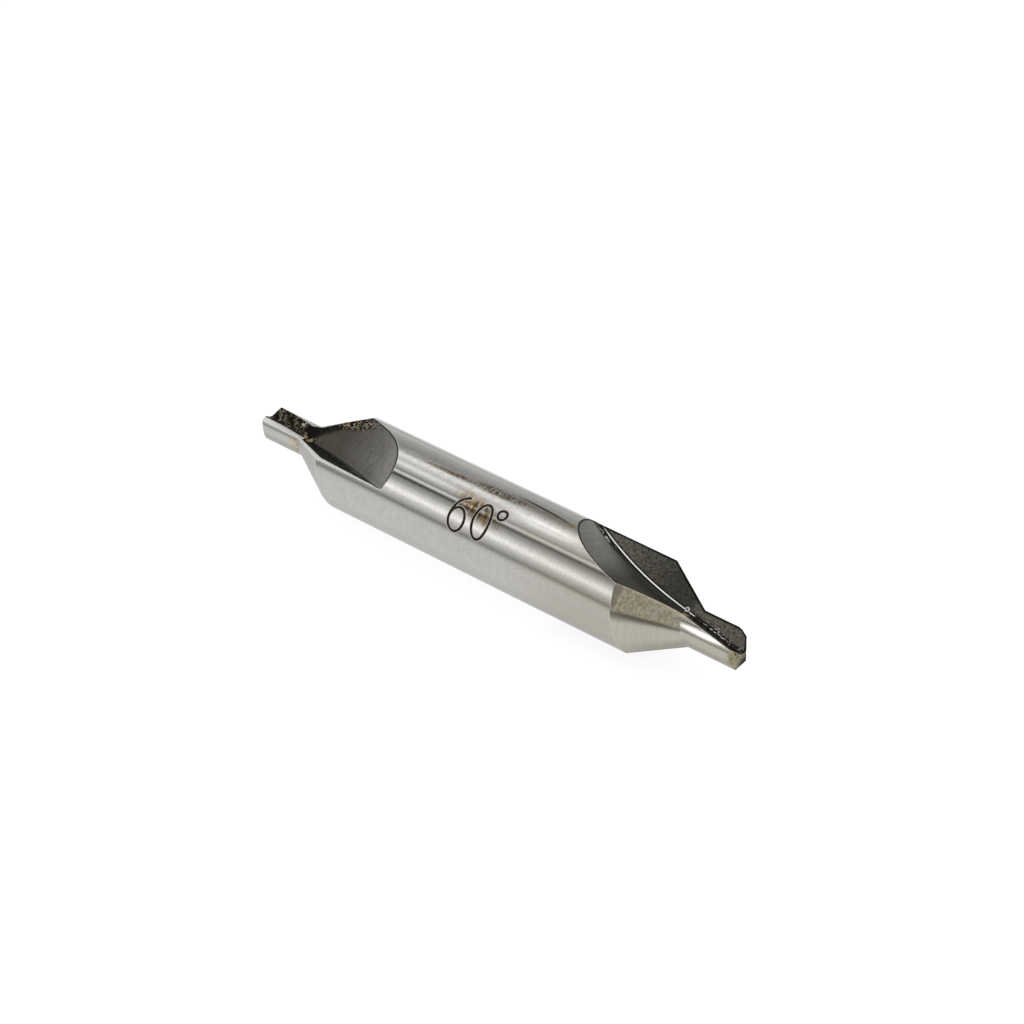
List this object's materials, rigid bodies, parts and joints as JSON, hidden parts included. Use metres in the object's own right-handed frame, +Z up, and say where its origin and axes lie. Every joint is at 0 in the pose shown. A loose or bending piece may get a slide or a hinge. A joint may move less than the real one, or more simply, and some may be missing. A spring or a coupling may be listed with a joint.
{
  "type": "centre drill",
  "caption": "Double-ended centre drill: a ground steel shank that ends both ways in a relieved countersink and a short fluted pilot point.",
  "frame": {"origin": "middle of the shank, on the drill's axis", "axes": "+X along the axis, towards the end with the longer flutes; the axis is level and +Z is up"},
  "size_m": [0.0498, 0.008, 0.008],
  "materials": {
    "ground_steel": "cylindrically ground high-speed steel, with dark ground flutes"
  },
  "bodies": {
    "root": {"centre_drill": "ground_steel"}
  },
  "joints": []
}
